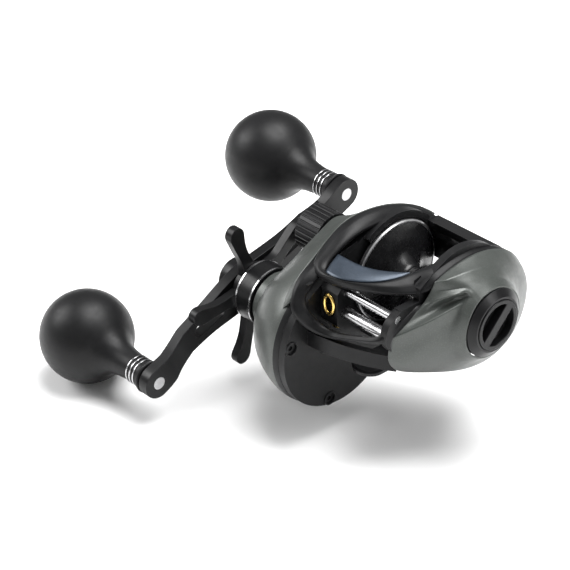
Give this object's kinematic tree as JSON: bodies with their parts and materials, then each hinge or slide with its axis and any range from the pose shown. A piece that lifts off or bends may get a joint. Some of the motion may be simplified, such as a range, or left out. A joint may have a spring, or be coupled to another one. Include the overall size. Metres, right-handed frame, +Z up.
{
  "type": "baitcasting reel",
  "caption": "Low-profile baitcasting fishing reel with a bent double handle, ball knobs, star drag, level wind, thumb-bar clutch and a brake dial on its palm side.",
  "frame": {"origin": "underside of the reel foot, at the middle of the foot and of the spool's width", "axes": "+X along the spool axis to the palm side (handle on -X), -Y to the rod tip where the line leaves, +Z up from the rod"},
  "size_m": [0.1537, 0.1256, 0.0791],
  "materials": {
    "black_frame": "satin",
    "black_anodised": "satin",
    "grey_paint": "satin",
    "blue_grey_panel": "satin",
    "bright_steel": "polished",
    "spool_black": "satin",
    "aluminium": "satin",
    "brass": "satin",
    "gold": "polished",
    "fibre": "matt",
    "plastic": "matt",
    "magnet": "plated",
    "knob_black": "soft matt"
  },
  "bodies": {
    "reel": {"frame": "black_frame", "reel_foot": "black_anodised", "foot_rivets": "bright_steel", "front_panel": "blue_grey_panel", "gear_side_cover": "grey_paint", "gear_cover_screws": "black_anodised", "palm_side_cover": "grey_paint", "palm_cover_screws": "black_anodised", "yoke_posts": "bright_steel", "yoke_springs": "bright_steel", "roller_clutch_shell": "bright_steel", "clutch_rollers": "bright_steel", "dial_bezel": "black_anodised", "brake_plate": "aluminium", "worm_guard": "bright_steel", "worm_bushings": "plastic", "guide_rod": "bright_steel", "drive_shaft_bearing": "bright_steel", "pinion_bearings": "bright_steel", "spool_bearings": "bright_steel"},
    "spool": {"spool": "spool_black", "spool_shaft": "bright_steel", "spool_drive_pin": "bright_steel", "brake_rotor": "aluminium"},
    "handle": {"drive_shaft": "bright_steel", "main_gear": "brass", "drag_friction_washers": "fibre", "drag_metal_washers": "bright_steel", "drag_pressure_plate": "bright_steel", "level_wind_drive_gear": "brass", "clutch_ratchet": "bright_steel", "clutch_sleeve": "bright_steel", "star_spring_washers": "bright_steel", "handle_arm": "black_anodised", "handle_nut": "bright_steel", "nut_retainer": "black_anodised", "retainer_screw": "bright_steel", "knob_pins": "bright_steel"},
    "star": {"star_drag": "black_anodised", "star_trim_rings": "bright_steel"},
    "front_knob": {"front_knob": "knob_black", "front_knob_bearings": "bright_steel"},
    "rear_knob": {"rear_knob": "knob_black", "rear_knob_bearings": "bright_steel"},
    "cast_control": {"cast_control_knob": "black_anodised", "cast_control_shims": "bright_steel"},
    "brake_dial": {"brake_dial": "black_anodised", "magnet_carrier": "plastic", "brake_magnets": "magnet"},
    "thumb_bar": {"thumb_bar": "black_anodised"},
    "clutch_cam": {"clutch_cam": "bright_steel", "kick_lever": "bright_steel"},
    "yoke": {"yoke": "plastic"},
    "pinion": {"pinion_gear": "brass"},
    "worm": {"worm_shaft": "bright_steel", "worm_gear": "plastic"},
    "line_guide": {"line_guide_carriage": "black_frame", "line_guide_insert": "gold", "pawl": "bright_steel", "pawl_cap": "gold"}
  },
  "joints": [
    {"name": "handle_turn", "type": "hinge", "parent": "reel", "child": "handle", "pos_m": [0, -0.024, 0.0045], "axis": [1, 0, 0], "continuous": true},
    {"name": "spool_spin", "type": "hinge", "parent": "reel", "child": "spool", "pos_m": [0, 0, 0.0225], "axis": [1, 0, 0], "continuous": true},
    {"name": "front_knob_spin", "type": "hinge", "parent": "handle", "child": "front_knob", "pos_m": [0, -0.06935, -0.01655], "axis": [1, 0, 0], "continuous": true},
    {"name": "rear_knob_spin", "type": "hinge", "parent": "handle", "child": "rear_knob", "pos_m": [0, 0.02135, 0.02555], "axis": [1, 0, 0], "continuous": true},
    {"name": "star_drag_turn", "type": "hinge", "parent": "handle", "child": "star", "pos_m": [0, -0.024, 0.0045], "axis": [1, 0, 0], "range_deg": [-90, 270]},
    {"name": "cast_control_turn", "type": "hinge", "parent": "reel", "child": "cast_control", "pos_m": [0, 0, 0.0225], "axis": [1, 0, 0], "range_deg": [-180, 180]},
    {"name": "brake_dial_turn", "type": "hinge", "parent": "reel", "child": "brake_dial", "pos_m": [0, 0, 0.0225], "axis": [1, 0, 0], "range_deg": [0, 270]},
    {"name": "thumb_bar_press", "type": "slide", "parent": "reel", "child": "thumb_bar", "axis": [0, 0.5, -0.866], "range_m": [0, 0.0035], "stiffness_N_per_m": 300, "springref_m": -0.001},
    {"name": "clutch_cam_turn", "type": "hinge", "parent": "reel", "child": "clutch_cam", "pos_m": [0, 0, 0.0225], "axis": [1, 0, 0], "range_deg": [-9.2, 0]},
    {"name": "yoke_slide", "type": "slide", "parent": "reel", "child": "yoke", "axis": [-1, 0, 0], "range_m": [0, 0.0018], "deforming": ["yoke_springs"]},
    {"name": "pinion_spin", "type": "hinge", "parent": "yoke", "child": "pinion", "pos_m": [0, 0, 0.0225], "axis": [1, 0, 0], "continuous": true},
    {"name": "worm_spin", "type": "hinge", "parent": "reel", "child": "worm", "pos_m": [0, -0.03, 0.02082], "axis": [1, 0, 0], "continuous": true},
    {"name": "line_guide_travel", "type": "slide", "parent": "reel", "child": "line_guide", "axis": [1, 0, 0], "range_m": [-0.0005, 0.0212]}
  ],
  "couplings": [
    {"joint": "spool_spin", "follows": "handle_turn", "ratio": -5},
    {"joint": "pinion_spin", "follows": "handle_turn", "ratio": -5},
    {"joint": "worm_spin", "follows": "handle_turn", "ratio": -1.4167},
    {"joint": "clutch_cam_turn", "follows": "thumb_bar_press", "rad_per_m": -45.379},
    {"joint": "yoke_slide", "follows": "thumb_bar_press", "ratio": 0.51429}
  ]
}
